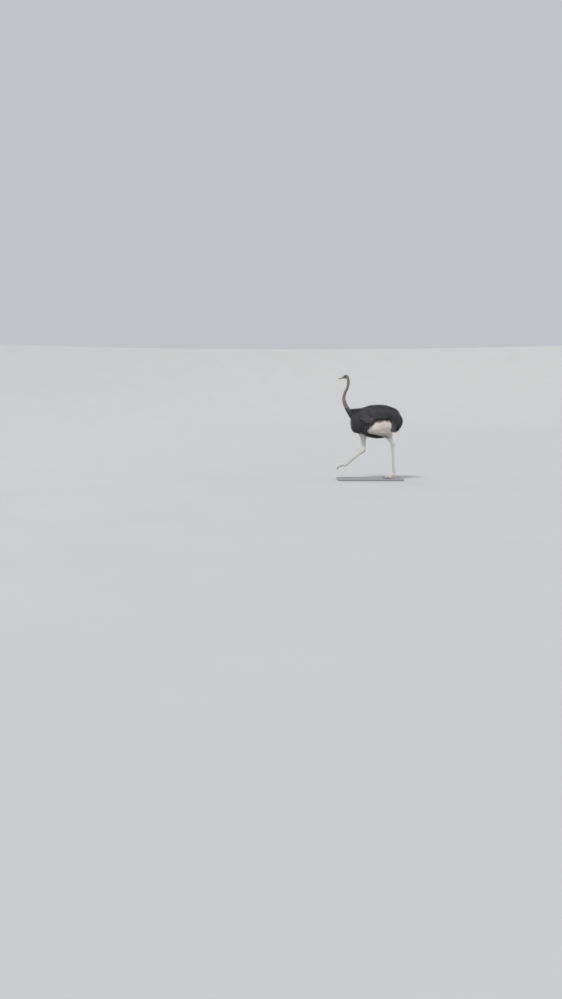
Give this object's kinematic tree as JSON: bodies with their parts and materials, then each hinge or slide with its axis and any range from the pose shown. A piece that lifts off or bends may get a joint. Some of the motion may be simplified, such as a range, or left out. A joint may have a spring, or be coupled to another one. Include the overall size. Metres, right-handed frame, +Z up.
{
  "type": "ostrich model",
  "caption": "Life-size still model of an adult male ostrich in mid stride, one foot planted and the other lifted forward, on a plain flat display base.",
  "frame": {"origin": "below the middle of the whole part, on the underside of the display base", "axes": "-Y is the way the bird faces, +X is its left side, +Z is up"},
  "size_m": [0.572, 1.2048, 1.9171],
  "materials": {
    "plumage_black": "loose soft black feathers",
    "plumage_tail": "dusty brown-black tail plumes",
    "neck_down": "grey-brown skin under short sparse down",
    "bare_skin": "bare beige-grey skin with feather follicles",
    "leg_scales": "pale scaled leg skin, worn and dry",
    "bill_horn": "satin horn",
    "claw_horn": "worn dark horn",
    "eye": "wet dark brown",
    "base_paint": "matt grey painted board"
  },
  "bodies": {
    "root": {"head": "neck_down", "bill_upper": "bill_horn", "bill_lower": "bill_horn", "eye_left": "eye", "eye_right": "eye", "neck_upper": "neck_down", "neck_middle": "neck_down", "neck_lower": "neck_down", "trunk": "plumage_black", "wing_left": "plumage_black", "wing_right": "plumage_black", "tail": "plumage_tail", "thigh_left": "bare_skin", "shank_left": "bare_skin", "tarsus_left": "leg_scales", "toe_inner_left": "leg_scales", "claw_inner_left": "claw_horn", "toe_outer_left": "leg_scales", "claw_outer_left": "claw_horn", "thigh_right": "bare_skin", "shank_right": "bare_skin", "tarsus_right": "leg_scales", "toe_inner_right": "leg_scales", "claw_inner_right": "claw_horn", "toe_outer_right": "leg_scales", "claw_outer_right": "claw_horn", "stand_base": "base_paint"}
  },
  "joints": []
}
